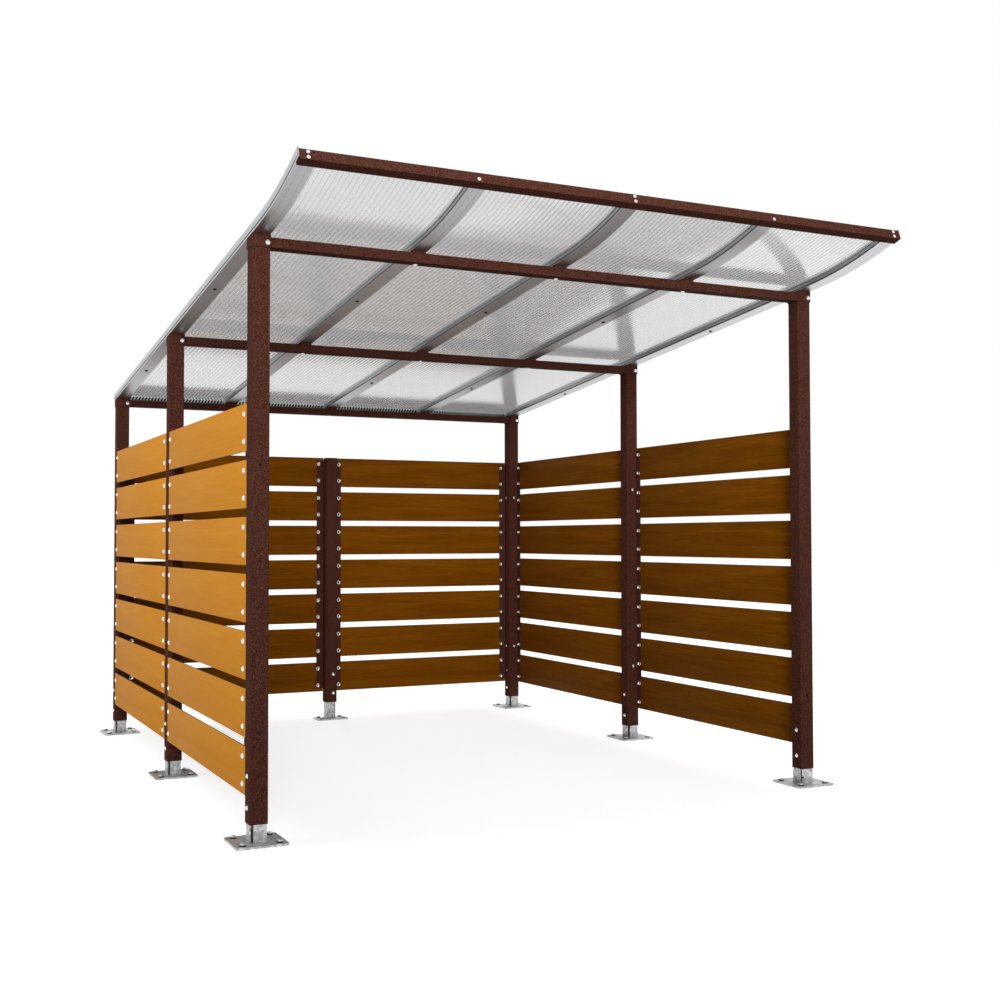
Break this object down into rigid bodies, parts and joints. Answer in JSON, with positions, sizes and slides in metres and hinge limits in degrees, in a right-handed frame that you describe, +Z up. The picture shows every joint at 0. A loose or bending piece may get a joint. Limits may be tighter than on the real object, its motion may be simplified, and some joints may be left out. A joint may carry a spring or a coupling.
{
  "type": "bin shelter",
  "caption": "Open-fronted bin shelter on square posts, with slatted walls on three sides and a translucent multiwall roof that sweeps up over the front.",
  "frame": {"origin": "on the ground, below the centre of the model's box", "axes": "+Z up, open front towards -Y, +Y towards the back wall, +X to the right seen from the front"},
  "size_m": [2.76, 3.7254, 2.4365],
  "materials": {
    "brown_powder_coat": "fine-textured matt powder coat",
    "wood_board": "satin, horizontal grain",
    "galvanised_steel": "hot-dip galvanised, mottled",
    "aluminium_profile": "mill finish",
    "multiwall_sheet": "translucent, ribbed"
  },
  "bodies": {
    "root": {"front_left_post": "brown_powder_coat", "front_right_post": "brown_powder_coat", "middle_left_post": "brown_powder_coat", "middle_right_post": "brown_powder_coat", "rear_left_post": "brown_powder_coat", "rear_right_post": "brown_powder_coat", "back_middle_post": "brown_powder_coat", "front_left_foot": "galvanised_steel", "front_right_foot": "galvanised_steel", "middle_left_foot": "galvanised_steel", "middle_right_foot": "galvanised_steel", "rear_left_foot": "galvanised_steel", "rear_right_foot": "galvanised_steel", "back_middle_foot": "galvanised_steel", "front_left_cap": "brown_powder_coat", "front_right_cap": "brown_powder_coat", "middle_left_cap": "brown_powder_coat", "middle_right_cap": "brown_powder_coat", "rear_left_cap": "brown_powder_coat", "rear_right_cap": "brown_powder_coat", "front_cross_beam": "brown_powder_coat", "middle_cross_beam": "brown_powder_coat", "rear_cross_beam": "brown_powder_coat", "front_fascia": "brown_powder_coat", "roof_bar_1": "aluminium_profile", "roof_bar_2": "aluminium_profile", "roof_bar_3": "aluminium_profile", "roof_bar_4": "aluminium_profile", "roof_bar_5": "aluminium_profile", "roof_sheet_1": "multiwall_sheet", "roof_sheet_2": "multiwall_sheet", "roof_sheet_3": "multiwall_sheet", "roof_sheet_4": "multiwall_sheet", "rear_closing_strip": "aluminium_profile", "left_front_boards": "wood_board", "left_rear_boards": "wood_board", "right_front_boards": "wood_board", "right_rear_boards": "wood_board", "back_left_boards": "wood_board", "back_right_boards": "wood_board", "left_front_angles": "brown_powder_coat", "left_rear_angles": "brown_powder_coat", "right_front_angles": "brown_powder_coat", "right_rear_angles": "brown_powder_coat", "back_left_angles": "brown_powder_coat", "back_right_angles": "brown_powder_coat"}
  },
  "joints": []
}
